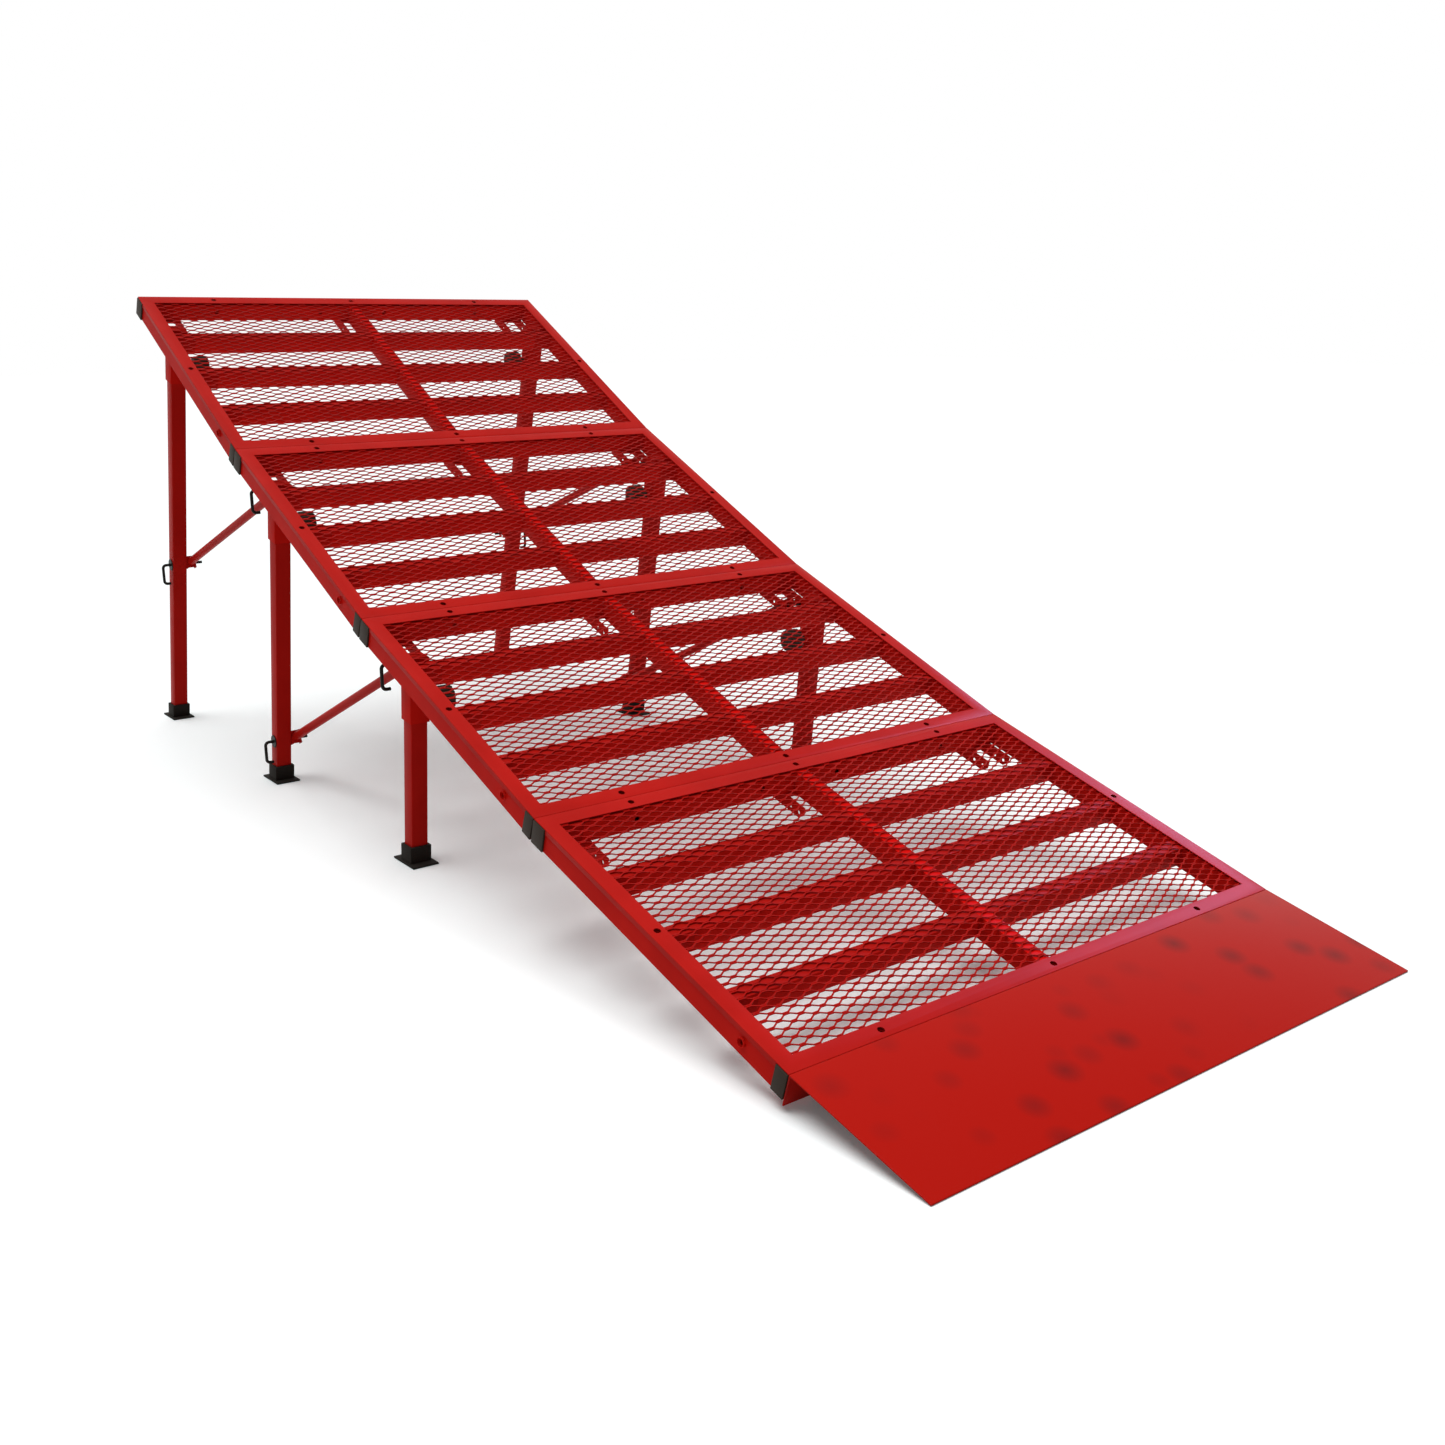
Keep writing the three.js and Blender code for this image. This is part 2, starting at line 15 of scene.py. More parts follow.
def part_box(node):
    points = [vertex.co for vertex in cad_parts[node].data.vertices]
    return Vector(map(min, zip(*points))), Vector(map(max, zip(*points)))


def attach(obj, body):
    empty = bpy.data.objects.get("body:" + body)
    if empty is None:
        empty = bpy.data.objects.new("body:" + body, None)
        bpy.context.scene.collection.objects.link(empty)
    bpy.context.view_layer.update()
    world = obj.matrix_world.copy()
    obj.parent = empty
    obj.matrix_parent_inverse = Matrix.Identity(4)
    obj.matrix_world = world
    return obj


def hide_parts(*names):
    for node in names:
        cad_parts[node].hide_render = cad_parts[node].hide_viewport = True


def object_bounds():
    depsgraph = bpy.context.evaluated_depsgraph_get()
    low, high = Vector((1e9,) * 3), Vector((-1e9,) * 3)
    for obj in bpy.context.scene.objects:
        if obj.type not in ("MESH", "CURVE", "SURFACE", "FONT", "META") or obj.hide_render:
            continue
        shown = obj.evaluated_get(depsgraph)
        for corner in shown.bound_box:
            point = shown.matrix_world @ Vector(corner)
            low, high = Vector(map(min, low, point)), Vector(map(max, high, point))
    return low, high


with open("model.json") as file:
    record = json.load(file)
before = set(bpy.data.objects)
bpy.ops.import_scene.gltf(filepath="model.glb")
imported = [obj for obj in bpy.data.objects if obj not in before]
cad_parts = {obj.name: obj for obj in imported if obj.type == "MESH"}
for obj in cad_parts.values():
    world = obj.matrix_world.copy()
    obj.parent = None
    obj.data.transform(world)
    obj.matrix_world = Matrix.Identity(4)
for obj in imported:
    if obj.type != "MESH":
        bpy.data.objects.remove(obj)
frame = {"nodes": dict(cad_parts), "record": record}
cad_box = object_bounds()

SIDES = {"left": -1, "right": 1}

# Deck sections
SECTIONS = 4
PITCH = 0.757
LOW_ANGLE = math.radians(15.9)
ANGLE_STEP = math.radians(4.5)
LOW_HEIGHT = 0.069
PLATE_RUN = 0.298
DECK_HALF_WIDTH = 0.610
COVER_STRIP = 0.034
TUBE_WALL = 0.002
# Half the middle bar's width, and the span inside the sockets: they bound the painted highlight and painted
# light on the tubes
MIDDLE_BAR_HALF = 0.0152
SOCKETS_INSIDE = 0.525
UPPER_BAR_REACH = 0.0402
UPPER_BAR_FACE = PITCH - UPPER_BAR_REACH

# Expanded mesh: long and short way of one opening, and the strand that is slit and leans over
LONG_WAY = 0.0453
SHORT_WAY = 0.020
STRAND_WIDTH = 0.0032
STRAND_SHEET = 0.0016
STRAND_LEAN = math.radians(10)
JOINT_LENGTH = 0.0115
MESH_TOP = 0.0023
MESH_UNDER_COVER = 0.007

# Bolt holes through the cover into the tubes, and in the face of the upper end bar
HOLE_RADIUS = 0.0065
HOLE_DEPTH = 0.012
HOLE_SIDES = 20
END_HOLES_X = (-0.408, 0.0, 0.408)
END_HOLE_INSET = 0.017
SIDE_HOLE_X = 0.592
FACE_HOLES_X = (-0.405, -0.100, 0.100, 0.405)
FACE_HOLE_DOWN = 0.025
FACE_HOLE_RADIUS = 0.006

# The eyelet boss on a rail, in its section's frame: lower and wider bored than in the solid
BOSS_FACE = Vector((0.6136, 0.112, -0.025))
BOSS_CLEARED = 0.0108
BOSS_LOWER = 0.001
BOSS_BORE = 0.0074
BOSS_BORE_DEPTH = 0.004

# Corner radii of the steel and of the moulded pieces
COVER_EDGE = 0.0009
TUBE_EDGE = 0.0018
LEG_EDGE = 0.0022
PLATE_EDGE = 0.0012
CAP_EDGE = 0.0012
FOOT_EDGE = 0.0014
BRACE_EDGE = 0.0004
EDGE_STEPS = 3
ROUND_PROFILE = 0.5
SHARP_ANGLE = math.radians(32)
FLAT_ANGLE = math.radians(0.5)
SAME_POINT = 0.00001
LONG_EDGE = 0.05

# The floor plate's flange, longer than in the solid: its rim is what moves
FLANGE_DEPTH = 0.044
FLANGE_RIM = 2 * PLATE_EDGE
FLANGE_REACH = 0.01
FLANGE_EXTRA = 0.016

# The rubber boots, straighter than in the solid
BOOT_BASE = 0.006
BOOT_HEIGHT = 0.042
BOOT_BORE = 0.0205
BOOT_WIDER = 0.15

# Pull pins
WIRE_RADIUS = 0.004
WIRE_STEPS = 4
WASHER_RADIUS = 0.0165
WASHER_THICKNESS = 0.0025
WASHER_CHAMFER = WASHER_THICKNESS / 4
WASHER_SIDES = 40
PIN_REACH = 0.088
HANDLE_OUT = 0.024
HANDLE_DROP = 0.054
BEND_RADIUS = 0.009
BEND_STEPS = 8
FREE_END = 0.006
BEARING_GAP = 0.0003

# Clamping knobs: the dish is in shares of the flat face's radius, the fluted part of the widest one
KNOB_RADIUS = 0.028
KNOB_LENGTH = 0.038
KNOB_REACH = 0.062
KNOB_SIDES = 160
KNOB_FLUTES = 20
KNOB_FLUTE_DEPTH = 0.0022
KNOB_ROUND = 0.004
KNOB_ROUND_MIDDLE = 0.0012
KNOB_DISH = 0.0015
DISH_FLOOR = 0.55
DISH_RIM = 0.62
FLUTED_SHARE = 0.8
HUB_RADIUS = 0.011
STEM_RADIUS = 0.005
NUT_HEIGHT = 0.008
SOCKET_WALL = 0.003

# Camera: where it stood for the photograph, its turns in degrees, and the lens in millimetres
CAMERA_PLACE = (-1.88907, -2.88944, 1.13941)
CAMERA_TURN = (75.084, 0.274, -37.323)
CAMERA_LENS = 36.884
SENSOR = 36.0

# Orange peel is about a millimetre across, drawn at two so that it shows
PEEL_SIZE = 0.002
PEEL_HEIGHT = 0.00005
PEEL_DETAIL = 2.0

# Patches of the two close reds, with a share of the peel in them
PATCH_SIZE = 0.12
PATCH_DETAIL = 3.0
PATCH_RANGE = (0.42, 0.82)
GRAIN_SHARE = 0.25

# A coat is thin and its red runs deep, so it mirrors little of a white room
REFRACTION = 1.5
COAT_SHEEN = 0.03

# The cosine from which a face counts as facing along an axis
FACING = 0.5

# Black plastic, rubber and wire
BLACK_SHEEN = 0.10
BLACK_DETAIL = 3.0
BLACK_RANGE = (0.35, 0.65)
BLACK_BUMP = 0.3

# Spots on the plate: a few centimetres wide, a hand or so apart, thick in places and missing in others
SPOT_SPACING = 0.085
SPOT_RADIUS = 0.034
SPOT_DEPTH = 0.65
SPOT_PATCH_SIZE = 0.30
SPOT_PATCH_DETAIL = 1.0
SPOTTED_RANGE = (0.32, 0.56)
DULLED_RANGE = (0.2, 0.8)
PLATE_ROUGHNESS = (0.10, 0.26)
PLATE_PEEL = 0.15

# Floor and light
FLOOR_HALF = 40.0
FLOOR_DROP = 0.0006
FLOOR_LIFT = 0.065
FLOOR_LIFT_COLOR = "#b5ffff"
FLOOR_SEEN = "#fdffff"
FLOOR_BOUNCE = "#c8c8c8"
SKY_LIGHT = 0.24
SUN_STRENGTH = 2.6
SUN_SOFTNESS = math.radians(50)
SUN_TURN = (math.radians(-5), math.radians(-7), 0.0)
SHEEN_PLACE = (4.0, -0.05, 2.4)
SHEEN_AIM = Vector((0.3, -1.0, 0.15))
SHEEN_SIZE = 1.6
SHEEN_POWER = 150.0
SHEEN_COLOR = "#d0c4ff"


# Nodes

def linear(code):
    """An sRGB hex colour as linear red, green, blue and alpha."""
    channels = [int(code[i:i + 2], 16) / 255 for i in (1, 3, 5)]
    return [c / 12.92 if c <= 0.04045 else ((c + 0.055) / 1.055) ** 2.4 for c in channels] + [1.0]


def add_node(tree, kind, settings=None, links=None):
    """Add a node, set its attributes or its inputs' values, and link its inputs."""
    node = tree.nodes.new(kind)
    for name, value in (settings or {}).items():
        if isinstance(name, str) and hasattr(node, name):
            setattr(node, name, value)
        else:
            node.inputs[name].default_value = value
    for name, output in (links or {}).items():
        tree.links.new(output, node.inputs[name])
    return node


def maths(tree, operation, *values):
    """The result of a maths node that works on numbers and other nodes' outputs."""
    numbers = {i: value for i, value in enumerate(values) if isinstance(value, (int, float))}
    outputs = {i: value for i, value in enumerate(values) if i not in numbers}
    return add_node(tree, "ShaderNodeMath", {"operation": operation, **numbers}, outputs).outputs[0]


def remap(tree, value, found, wanted=(0.0, 1.0)):
    """A value carried from the range where it is found to the one that is wanted."""
    limits = {"From Min": found[0], "From Max": found[1], "To Min": wanted[0], "To Max": wanted[1]}
    return add_node(tree, "ShaderNodeMapRange", limits, {"Value": value}).outputs["Result"]


def mix_colors(tree, share, colors, links=None):
    """A mix of the colours A and B, each a hex code or else a link."""
    settings = {"data_type": "RGBA", **{name: linear(code) for name, code in colors.items()}}
    return add_node(tree, "ShaderNodeMix", settings, {"Factor": share, **(links or {})}).outputs["Result"]


def place_node(tree):
    """The point on the piece, in metres of its own frame."""
    return add_node(tree, "ShaderNodeTexCoord").outputs["Object"]


def noise(tree, size, detail):
    """Soft noise on the piece, with blobs of a size in metres."""
    return add_node(tree, "ShaderNodeTexNoise", {"Scale": 1 / size, "Detail": detail},
                    {"Vector": place_node(tree)}).outputs["Fac"]


def bump(tree, grain, strength, height):
    """The normals of a surface that a grain raises."""
    return add_node(tree, "ShaderNodeBump", {"Strength": strength, "Distance": height},
                    {"Height": grain}).outputs["Normal"]


def two_tone(tree, share, limits, shade, color):
    """From a shade to a colour between two limits of the share."""
    ramp = add_node(tree, "ShaderNodeValToRGB", links={"Fac": share})
    for element, position, code in zip(ramp.color_ramp.elements, limits, (shade, color)):
        element.position = position
        element.color = linear(code)
    return ramp.outputs["Color"]


# Materials

def new_material(name):
    """An empty node material and its tree."""
    material = bpy.data.materials.new(name)
    material.use_nodes = True
    material.node_tree.nodes.clear()
    return material, material.node_tree


def end_with_surface(tree, settings, links):
    """The surface that a material ends with."""
    surface = add_node(tree, "ShaderNodeBsdfPrincipled", {"IOR": REFRACTION, **settings}, links)
    add_node(tree, "ShaderNodeOutputMaterial", links={"Surface": surface.outputs["BSDF"]})


def coat_material(name, color, shade, roughness, peel, sheen):
    """Baked powder coat: two close reds in soft patches, under a fine orange peel."""
    material, tree = new_material(name)
    grain = noise(tree, PEEL_SIZE, PEEL_DETAIL)
    mixed = maths(tree, "MULTIPLY_ADD", grain, GRAIN_SHARE, noise(tree, PATCH_SIZE, PATCH_DETAIL))
    end_with_surface(tree, {"Roughness": roughness, "Specular IOR Level": sheen},
                     {"Base Color": two_tone(tree, mixed, PATCH_RANGE, shade, color),
                      "Normal": bump(tree, grain, peel, PEEL_HEIGHT)})
    return material


def satin_powder_coat():
    """Polyester powder coat on tube and sheet: a satin red with little gloss."""
    return coat_material("satin_powder_coat", "#bd1a13", "#b0160f",
                         roughness=0.40, peel=0.35, sheen=COAT_SHEEN)


def mesh_powder_coat():
    """The same powder on expanded sheet, in darker reds than on tube and sheet."""
    return coat_material("mesh_powder_coat", "#b3110b", "#9c0d08",
                         roughness=0.40, peel=0.2, sheen=COAT_SHEEN)


def facing_mask(tree, axis, sign):
    """One where a surface faces along an axis of its piece, else nought."""
    normal = add_node(tree, "ShaderNodeTexCoord").outputs["Normal"]
    parts = add_node(tree, "ShaderNodeSeparateXYZ", links={"Vector": normal})
    return maths(tree, "GREATER_THAN", maths(tree, "MULTIPLY", parts.outputs[axis], sign), FACING)


def tube_powder_coat_painted_light():
    """Powder coat on the frame tubes, in lighter reds than the covers' as painted light, with painted shade
    on the tops under the mesh, painted light on the downhill faces and a painted highlight on the middle
    bar's top.
    """
    # Painted light: the tubes' two reds are lighter than those of the covers' satin coat
    material = coat_material("tube_powder_coat_painted_light", "#cf1b13", "#c0160f",
                             roughness=0.40, peel=0.35, sheen=COAT_SHEEN / 2)
    tree = material.node_tree
    coat = next(node for node in tree.nodes if node.type == "BSDF_PRINCIPLED")
    place = add_node(tree, "ShaderNodeSeparateXYZ", links={"Vector": place_node(tree)})
    across = maths(tree, "ABSOLUTE", place.outputs["X"])
    middle = maths(tree, "LESS_THAN", across, MIDDLE_BAR_HALF)
    between_sockets = maths(tree, "LESS_THAN", across, SOCKETS_INSIDE)
    top = facing_mask(tree, "Z", 1)
    downhill_painted_light = maths(tree, "MULTIPLY", between_sockets, facing_mask(tree, "Y", -1))
    middle_bar_painted_highlight = maths(tree, "MULTIPLY", middle, top)
    color = coat.inputs["Base Color"].links[0].from_socket
    # Painted light on the downhill faces between the sockets, painted shade on the tops under the mesh, and
    # a painted highlight on the middle bar's top
    for mask, code in ((downhill_painted_light, "#e21f16"), (top, "#ad1610"), (middle_bar_painted_highlight, "#d81009")):
        color = mix_colors(tree, mask, {"B": code}, {"A": color})
    tree.links.new(color, coat.inputs["Base Color"])
    return material


def gloss_powder_coat():
    """Gloss powder coat on the floor plate, with soft dark dull spots, thick in places and missing in
    others.
    """
    material, tree = new_material("gloss_powder_coat")
    cells = add_node(tree, "ShaderNodeTexVoronoi", {"Scale": 1 / SPOT_SPACING},
                     {"Vector": place_node(tree)})
    spots = remap(tree, cells.outputs["Distance"], (SPOT_RADIUS / SPOT_SPACING, 0.0), (0.0, SPOT_DEPTH))
    spot_patches = noise(tree, SPOT_PATCH_SIZE, SPOT_PATCH_DETAIL)
    marks = maths(tree, "MULTIPLY", spots, remap(tree, spot_patches, SPOTTED_RANGE))
    end_with_surface(tree, {"Specular IOR Level": COAT_SHEEN},
                     {"Base Color": mix_colors(tree, marks, {"A": "#b4170e", "B": "#4c1a1c"}),
                      "Roughness": remap(tree, spot_patches, DULLED_RANGE, PLATE_ROUGHNESS),
                      "Normal": bump(tree, noise(tree, PEEL_SIZE, PEEL_DETAIL), PLATE_PEEL, PEEL_HEIGHT)})
    return material


def black_material(name, color, shade, roughness, grain_size, height):
    """A black surface with a fine moulded or rolled grain."""
    material, tree = new_material(name)
    grain = noise(tree, grain_size, BLACK_DETAIL)
    end_with_surface(tree, {"Roughness": roughness, "Specular IOR Level": BLACK_SHEEN},
                     {"Base Color": two_tone(tree, grain, BLACK_RANGE, shade, color),
                      "Normal": bump(tree, grain, BLACK_BUMP, height)})
    return material


def moulded_polyethylene():
    """Injection-moulded polyethylene: warm black, its spark-eroded texture about 0.8 mm."""
    return black_material("moulded_polyethylene", "#3a2f26", "#2c231c",
                          roughness=0.55, grain_size=0.0008, height=0.00004)


def moulded_rubber():
    """Moulded rubber: dull black with a bloom, its grain about 1.5 mm."""
    return black_material("moulded_rubber", "#26211d", "#1b1815",
                          roughness=0.75, grain_size=0.0015, height=0.00006)


def blackened_wire():
    """Bent steel wire under black oxide: near black and slightly oily, with a faint rolled unevenness."""
    return black_material("blackened_wire", "#24201c", "#171412",
                          roughness=0.38, grain_size=0.003, height=0.00002)


def paint(piece, material):
    """Give the whole piece one material."""
    piece.data.materials.clear()
    piece.data.materials.append(material)


# Placing

def section_angle(index):
    """How steep a section stands."""
    return LOW_ANGLE + ANGLE_STEP * index


def section_matrix(index):
    """From a section's own frame to the ramp's."""
    y = cad_box[0][1] + PLATE_RUN
    z = LOW_HEIGHT
    for lower in range(index):
        y += PITCH * math.cos(section_angle(lower))
        z += PITCH * math.sin(section_angle(lower))
    return Matrix.Translation((0, y, z)) @ Matrix.Rotation(section_angle(index), 4, "X")


def add_piece(name, mesh, body, material, nodes=(), matrix=None):
    """A new piece on a body, in its material, standing for the nodes that are named."""
    piece = bpy.data.objects.new(name, mesh)
    bpy.context.scene.collection.objects.link(piece)
    if matrix is not None:
        piece.matrix_world = matrix
    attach(piece, body)
    if nodes:
        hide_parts(*nodes)
    if not mesh.materials:
        paint(piece, material)
    return piece


def body_of_node(node):
    """The body that a node belongs to."""
    bodies = frame["record"]["behaviour"]["bodies"]
    return next(body for body, nodes in bodies.items() if node in nodes)


def outer_side(node, side):
    """The node's outermost X, and the lower and upper corners of its box."""
    low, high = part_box(node)
    return (low if side < 0 else high).x, low, high


# Meshes

def as_mesh(shape, name):
    """Turn a bmesh into a mesh and let go of it."""
    mesh = bpy.data.meshes.new(name)
    shape.to_mesh(mesh)
    shape.free()
    return mesh


def as_smooth_mesh(shape, name):
    """The same, shaded smooth but for its sharp edges."""
    for face in shape.faces:
        face.smooth = True
    for edge in shape.edges:
        edge.smooth = not edge.is_manifold or edge.calc_face_angle() < SHARP_ANGLE
    return as_mesh(shape, name)


def evaluated_mesh(piece):
    """A piece's mesh with its modifiers and bevels in it."""
    return bpy.data.meshes.new_from_object(piece.evaluated_get(bpy.context.evaluated_depsgraph_get()))


def rolled_mesh(node, radius, shortest=0.0):
    """A node's solid with the convex edges rolled over to a radius."""
    shape = bmesh.new()
    shape.from_mesh(frame["nodes"][node].data)
    bmesh.ops.remove_doubles(shape, verts=shape.verts, dist=SAME_POINT)
    bmesh.ops.dissolve_limit(shape, angle_limit=FLAT_ANGLE, verts=shape.verts, edges=shape.edges)
    sharp = [edge for edge in shape.edges
             if edge.is_manifold and edge.calc_face_angle_signed() > SHARP_ANGLE
             and edge.calc_length() > shortest]
    bmesh.ops.bevel(shape, geom=sharp, offset=radius, segments=EDGE_STEPS, profile=ROUND_PROFILE,
                    affect="EDGES", clamp_overlap=True)
    return as_smooth_mesh(shape, node + "_rolled")


def rolled_piece(name, node, radius, material, shortest=0.0):
    """The rounded copy of a node, standing for it."""
    return add_piece(name, rolled_mesh(node, radius, shortest), body_of_node(node), material, [node])


# Holes

def drill_mesh(holes):
    """Round bars joined in one mesh: centre, direction, radius and depth of each."""
    shape = bmesh.new()
    for centre, direction, radius, depth in holes:
        turn = direction.to_track_quat("Z", "Y").to_matrix().to_4x4()
        bmesh.ops.create_cone(shape, cap_ends=True, segments=HOLE_SIDES, radius1=radius, radius2=radius,
                              depth=2 * depth, matrix=Matrix.Translation(centre) @ turn)
    return as_mesh(shape, "drills")


def drill(piece, holes):
    """Drill the holes, given in the ramp's frame, into a piece."""
    tool = bpy.data.objects.new("drills", drill_mesh(holes))
    bpy.context.scene.collection.objects.link(tool)
    cutter = piece.modifiers.new("holes", "BOOLEAN")
    cutter.operation = "DIFFERENCE"
    cutter.solver = "EXACT"
    cutter.object = tool
    drilled = evaluated_mesh(piece)
    piece.modifiers.clear()
    piece.data = drilled
    bpy.data.objects.remove(tool)


def top_holes(index):
    """The bolt holes down through the cover of a section."""
    matrix = section_matrix(index)
    down = matrix.to_3x3() @ Vector((0, 0, -1))
    places = [(x, y) for y in (END_HOLE_INSET, PITCH - END_HOLE_INSET) for x in END_HOLES_X]
    places += [(-SIDE_HOLE_X, PITCH / 2), (SIDE_HOLE_X, PITCH / 2)]
    return [(matrix @ Vector((x, y, 0)), down, HOLE_RADIUS, HOLE_DEPTH) for x, y in places]


def face_holes(index):
    """The joining holes in the downhill face of the upper end bar."""
    matrix = section_matrix(index)
    uphill = matrix.to_3x3() @ Vector((0, 1, 0))
    places = [Vector((x, UPPER_BAR_FACE, -FACE_HOLE_DOWN)) for x in FACE_HOLES_X]
    return [(matrix @ place, uphill, FACE_HOLE_RADIUS, TUBE_WALL * 2) for place in places]


def boss_cuts(index, radius, depth):
    """A round cut into the outer face of each rail's eyelet boss."""
    matrix = section_matrix(index)
    places = [(side, Vector((side * BOSS_FACE.x, BOSS_FACE.y, BOSS_FACE.z))) for side in SIDES.values()]
    return [(matrix @ place, Vector((side, 0, 0)), radius, depth) for side, place in places]


def drill_tubes(tubes, index):
    """The bolt holes of a section's tubes, and its bosses taken down and then bored wider."""
    drill(tubes, top_holes(index) + face_holes(index) + boss_cuts(index, BOSS_CLEARED, BOSS_LOWER))
    drill(tubes, boss_cuts(index, BOSS_BORE, BOSS_BORE_DEPTH))


# Flange and boots, drawn nearer to the photograph than the solids are

def lengthen_flange(plate):
    """Draw the lower rim of the bent flange further down its own plane."""
    to_section = section_matrix(0).inverted()
    down = section_matrix(0).to_3x3() @ Vector((0, 0, -FLANGE_EXTRA))
    for point in plate.data.vertices:
        place = to_section @ point.co
        if place.z < FLANGE_RIM - FLANGE_DEPTH and place.y > -FLANGE_REACH:
            point.co += down


def widen_boot(foot, leg):
    """Widen a boot towards its top, around the leg's axis, and leave its bore as it is."""
    points = frame["nodes"][leg].data.vertices
    centre = sum((point.co for point in points), Vector()) / len(points)
    joints = frame["record"]["behaviour"]["joints"]
    axis = Vector(next(joint["axis"] for joint in joints if joint["child"] == leg)).normalized()
    across = axis.cross(Vector((1, 0, 0)))
    for point in foot.data.vertices:
        out = (point.co - centre) - (point.co - centre).dot(axis) * axis
        if max(abs(out.x), abs(out.dot(across))) > BOOT_BORE and point.co.z > BOOT_BASE:
            point.co += out * BOOT_WIDER * min((point.co.z - BOOT_BASE) / BOOT_HEIGHT, 1)


# Expanded mesh

def strand_section():
    """The strand's cross-section in Y and Z, leaning towards the low end, its top at the mesh's top."""
    lean = Matrix.Rotation(-STRAND_LEAN, 2)
    half = Vector((STRAND_WIDTH / 2, STRAND_SHEET / 2))
    corners = [lean @ Vector((half.x * y, half.y * z)) for y, z in ((-1, -1), (1, -1), (1, 1), (-1, 1))]
    highest = max(corner.y for corner in corners)
    return [(corner.x, corner.y - highest - MESH_TOP) for corner in corners]


def expanded_mesh():
    """One panel of zigzag strands, each touching the next where they are joined."""
    half = DECK_HALF_WIDTH - COVER_STRIP + MESH_UNDER_COVER
    start = COVER_STRIP - MESH_UNDER_COVER
    finish = PITCH - start
    rows = round((finish - start) / (SHORT_WAY / 2))
    steps = math.ceil(2 * half / (LONG_WAY / 2))
    section = strand_section()
    corners = len(section)
    swing = SHORT_WAY / 4 - STRAND_WIDTH / 2
    points = []
    faces = []
    for row in range(rows):
        middle = start + (row + 0.5) * (finish - start) / rows
        first = len(points)
        for step in range(steps + 1):
            x = -steps * LONG_WAY / 4 + step * LONG_WAY / 2
            y = middle + (swing if (row + step) % 2 else -swing)
            for end in (-JOINT_LENGTH / 2, JOINT_LENGTH / 2):
                points += [(x + end, y + across, up) for across, up in section]
        last = len(points) - corners
        for ring in range(first, last, corners):
            following = ring + corners
            for k in range(corners):
                j = (k + 1) % corners
                faces.append((ring + k, ring + j, following + j, following + k))
        faces += [tuple(reversed(range(first, first + corners))), tuple(range(last, last + corners))]
    mesh = bpy.data.meshes.new("expanded_mesh")
    mesh.from_pydata(points, [], faces)
    shape = bmesh.new()
    shape.from_mesh(mesh)
    bmesh.ops.recalc_face_normals(shape, faces=shape.faces)
    shape.to_mesh(mesh)
    shape.free()
    return mesh


# Pull pins and knobs

def arc(centre, radius, start, finish):
    """Points of a bend in the X and Z plane, angles in degrees."""
    turns = [math.radians(start + (finish - start) * i / BEND_STEPS) for i in range(BEND_STEPS + 1)]
    return [(centre[0] + radius * math.cos(t), centre[1] + radius * math.sin(t)) for t in turns]


def wire_mesh(points, radius, name):
    """A round wire along points in the X and Z plane, with flat ends."""
    line = bpy.data.curves.new(name, "CURVE")
    line.dimensions = "3D"
    line.bevel_depth = radius
    line.bevel_resolution = WIRE_STEPS
    line.use_fill_caps = True
    spline = line.splines.new("POLY")
    spline.points.add(len(points) - 1)
    for point, (x, z) in zip(spline.points, points):
        point.co = (x, 0, z, 1)
    holder = bpy.data.objects.new(name, line)
    bpy.context.scene.collection.objects.link(holder)
    mesh = evaluated_mesh(holder)
    bpy.data.objects.remove(holder)
    return mesh


def turned(shape, profile, sides, flutes=0, depth=0.0):
    """Turn a profile of radius and X about the X axis, fluted where its radius is large."""
    fluted = FLUTED_SHARE * max(radius for radius, _ in profile)
    rings = []
    for radius, x in profile:
        ring = []
        for i in range(sides):
            angle = 2 * math.pi * i / sides
            cut = depth * (1 - math.cos(flutes * angle)) / 2 if radius > fluted else 0.0
            out = radius - cut
            ring.append(shape.verts.new((x, out * math.cos(angle), out * math.sin(angle))))
        rings.append(ring)
    for ring, following in zip(rings, rings[1:]):
        for i in range(sides):
            j = (i + 1) % sides
            shape.faces.new((ring[i], ring[j], following[j], following[i]))
    shape.faces.new(rings[0])
    shape.faces.new(reversed(rings[-1]))
    bmesh.ops.recalc_face_normals(shape, faces=shape.faces)


def pin_mesh(side):
    """A pull pin bent from one wire, with its washer; its origin is on the face it bears on."""
    out = HANDLE_OUT - BEND_RADIUS
    line = [(-PIN_REACH, 0.0)] + arc((out, -BEND_RADIUS), BEND_RADIUS, 90, 0)
    line += arc((out, BEND_RADIUS - HANDLE_DROP), BEND_RADIUS, 0, -90)
    line += [(FREE_END, -HANDLE_DROP)]
    near = BEARING_GAP
    far = BEARING_GAP + WASHER_THICKNESS
    rim = WASHER_RADIUS - WASHER_CHAMFER
    washer = [(rim, near), (WASHER_RADIUS, near + WASHER_CHAMFER),
              (WASHER_RADIUS, far - WASHER_CHAMFER), (rim, far)]
    shape = bmesh.new()
    shape.from_mesh(wire_mesh([(side * x, z) for x, z in line], WIRE_RADIUS, "pin_wire"))
    turned(shape, [(radius, side * x) for radius, x in washer], WASHER_SIDES)
    return as_smooth_mesh(shape, "pull_pin")


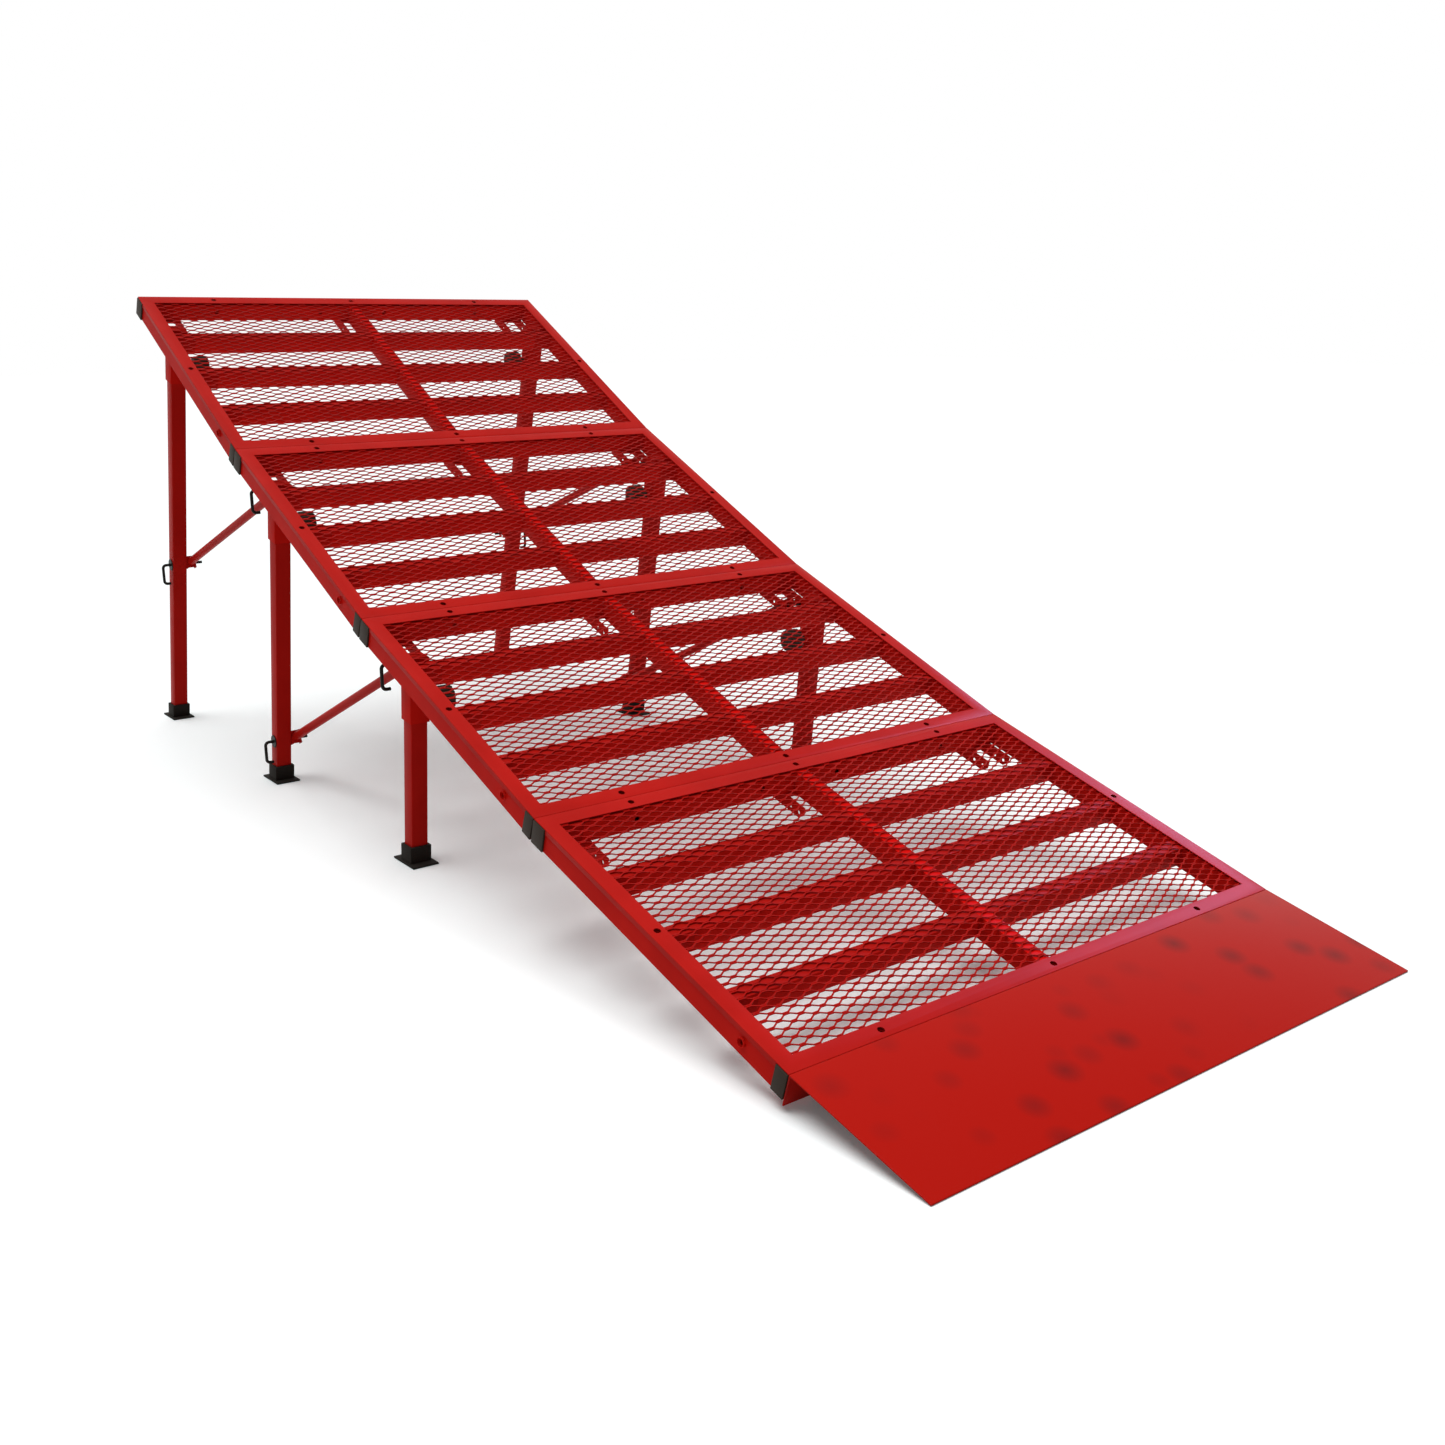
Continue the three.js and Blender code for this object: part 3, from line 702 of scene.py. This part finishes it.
def knob_mesh(side):
    """A fluted clamping knob with its hub and stem, turned about X; its origin is on the socket."""
    back = KNOB_REACH - KNOB_LENGTH
    flat = KNOB_RADIUS - KNOB_ROUND
    corner = KNOB_RADIUS - KNOB_ROUND_MIDDLE
    hub_end = NUT_HEIGHT + BEARING_GAP
    profile = [(flat * DISH_FLOOR, KNOB_REACH - KNOB_DISH), (flat * DISH_RIM, KNOB_REACH),
               (flat, KNOB_REACH), (corner, KNOB_REACH - KNOB_ROUND_MIDDLE),
               (KNOB_RADIUS, KNOB_REACH - KNOB_ROUND), (KNOB_RADIUS, back + KNOB_ROUND),
               (corner, back + KNOB_ROUND_MIDDLE), (flat, back),
               (HUB_RADIUS, back), (HUB_RADIUS, hub_end), (STEM_RADIUS, hub_end),
               (STEM_RADIUS, -SOCKET_WALL)]
    shape = bmesh.new()
    turned(shape, [(radius, -side * x) for radius, x in profile], KNOB_SIDES, KNOB_FLUTES, KNOB_FLUTE_DEPTH)
    return as_smooth_mesh(shape, "knob")


# Floor, light and camera

def seen_directly(tree):
    """One where the camera, a reflection or a clear material looks, nought for other light."""
    rays = add_node(tree, "ShaderNodeLightPath").outputs
    sharp = maths(tree, "MAXIMUM", rays["Is Camera Ray"], rays["Is Glossy Ray"])
    return maths(tree, "MAXIMUM", sharp, rays["Is Transmission Ray"])


def white_floor():
    """Matt paper: white and lifted where it is looked at, greyer as a light on the ramp's underside."""
    material, tree = new_material("white_paper")
    rays = add_node(tree, "ShaderNodeLightPath").outputs
    shade = mix_colors(tree, rays["Is Diffuse Ray"], {"A": FLOOR_SEEN, "B": FLOOR_BOUNCE})
    paper = add_node(tree, "ShaderNodeBsdfDiffuse", links={"Color": shade})
    lift = maths(tree, "MULTIPLY", seen_directly(tree), FLOOR_LIFT)
    glow = add_node(tree, "ShaderNodeEmission", {"Color": linear(FLOOR_LIFT_COLOR)}, {"Strength": lift})
    surfaces = {0: paper.outputs["BSDF"], 1: glow.outputs["Emission"]}
    both = add_node(tree, "ShaderNodeAddShader", links=surfaces)
    add_node(tree, "ShaderNodeOutputMaterial", links={"Surface": both.outputs["Shader"]})
    return material


def lay_floor():
    """A white floor just under the soles."""
    shape = bmesh.new()
    corners = [(-1, -1), (1, -1), (1, 1), (-1, 1)]
    shape.faces.new([shape.verts.new((x * FLOOR_HALF, y * FLOOR_HALF, -FLOOR_DROP)) for x, y in corners])
    floor = bpy.data.objects.new("floor", as_mesh(shape, "floor"))
    bpy.context.scene.collection.objects.link(floor)
    paint(floor, white_floor())


def light_world():
    """A plain white room: full white where it is looked at, softer as light."""
    world = bpy.data.worlds.new("white_room")
    world.use_nodes = True
    tree = world.node_tree
    tree.nodes.clear()
    level = remap(tree, seen_directly(tree), (0.0, 1.0), (SKY_LIGHT, 1.0))
    room = add_node(tree, "ShaderNodeBackground", {"Color": linear("#ffffff")}, {"Strength": level})
    add_node(tree, "ShaderNodeOutputWorld", links={"Surface": room.outputs["Background"]})
    bpy.context.scene.world = world


def hang_lamp():
    """One soft lamp high over the ramp, a little behind it and to its left."""
    lamp = bpy.data.lights.new("soft_lamp", "SUN")
    lamp.energy = SUN_STRENGTH
    lamp.angle = SUN_SOFTNESS
    holder = bpy.data.objects.new("soft_lamp", lamp)
    holder.rotation_euler = SUN_TURN
    bpy.context.scene.collection.objects.link(holder)


def hang_sheen_lamp(pieces):
    """A pale violet panel far to the right, seen only as a sheen on the pieces."""
    receivers = bpy.data.collections.new("satin_pieces")
    for piece in pieces:
        receivers.objects.link(piece)
    lamp = bpy.data.lights.new("sheen_lamp", "AREA")
    lamp.shape = "DISK"
    lamp.size = SHEEN_SIZE
    lamp.energy = SHEEN_POWER
    lamp.color = linear(SHEEN_COLOR)[:3]
    holder = bpy.data.objects.new("sheen_lamp", lamp)
    holder.location = SHEEN_PLACE
    holder.rotation_euler = (SHEEN_AIM - holder.location).to_track_quat("-Z", "Y").to_euler()
    holder.visible_camera = False
    holder.visible_diffuse = False
    holder.visible_transmission = False
    holder.light_linking.receiver_collection = receivers
    bpy.context.scene.collection.objects.link(holder)


def set_camera():
    """The camera of the photograph."""
    lens = bpy.data.cameras.new("camera")
    lens.lens = CAMERA_LENS
    lens.sensor_width = SENSOR
    holder = bpy.data.objects.new("camera", lens)
    holder.location = CAMERA_PLACE
    holder.rotation_euler = [math.radians(turn) for turn in CAMERA_TURN]
    bpy.context.scene.collection.objects.link(holder)
    bpy.context.scene.camera = holder


# Building the ramp

coat = satin_powder_coat()
mesh_coat = mesh_powder_coat()
tube_coat_painted_light = tube_powder_coat_painted_light()
plate_coat = gloss_powder_coat()
plastic = moulded_polyethylene()
rubber = moulded_rubber()
wire = blackened_wire()

satin_pieces = []
panel = expanded_mesh()
lengthen_flange(rolled_piece("bent_floor_plate", "floor_plate", PLATE_EDGE, plate_coat))

for index in range(SECTIONS):
    number = index + 1
    add_piece(f"expanded_mesh_{number}", panel, "deck", mesh_coat,
              [f"mesh_{number}"], section_matrix(index))
    tubes = rolled_piece(f"tube_frame_{number}", f"frame_{number}", TUBE_EDGE, tube_coat_painted_light,
                         LONG_EDGE)
    drill_tubes(tubes, index)
    sheet = rolled_piece(f"cover_sheet_{number}", f"cover_{number}", COVER_EDGE, coat)
    drill(sheet, top_holes(index))
    satin_pieces += [tubes, sheet]
    for word in SIDES:
        for end in ("low", "high"):
            node = f"cap_{number}_{end}_{word}"
            rolled_piece(f"tube_{node}", node, CAP_EDGE, plastic)

pin_meshes = {word: pin_mesh(side) for word, side in SIDES.items()}
knob_meshes = {word: knob_mesh(side) for word, side in SIDES.items()}

for number in range(2, SECTIONS + 1):
    for word, side in SIDES.items():
        leg = f"leg_{number}_{word}"
        rolled_piece(f"square_{leg}", leg, LEG_EDGE, coat, LONG_EDGE)
        widen_boot(rolled_piece(f"rubber_foot_{number}_{word}", f"foot_{number}_{word}", FOOT_EDGE,
                                rubber), leg)
        knob = f"knob_{number}_{word}"
        outer, low, high = outer_side(knob, side)
        middle = (low + high) / 2
        place = Matrix.Translation((outer - side * SOCKET_WALL, middle.y, middle.z))
        add_piece(f"fluted_{knob}", knob_meshes[word], knob, plastic, [knob], place)

for number in range(3, SECTIONS + 1):
    for word, side in SIDES.items():
        brace = f"brace_{number}_{word}"
        rolled_piece(f"tube_{brace}", brace, BRACE_EDGE, coat, LONG_EDGE)
        for end in ("low", "high"):
            pin = f"pin_{number}_{end}_{word}"
            outer, low, high = outer_side(pin, side)
            place = Matrix.Translation((outer - side * (HANDLE_OUT + WIRE_RADIUS), (low.y + high.y) / 2,
                                        high.z - WASHER_RADIUS))
            add_piece(f"wire_{pin}", pin_meshes[word], pin, wire, [pin], place)

lay_floor()
light_world()
hang_lamp()
hang_sheen_lamp(satin_pieces)
set_camera()
bpy.context.scene.view_settings.view_transform = "Standard"
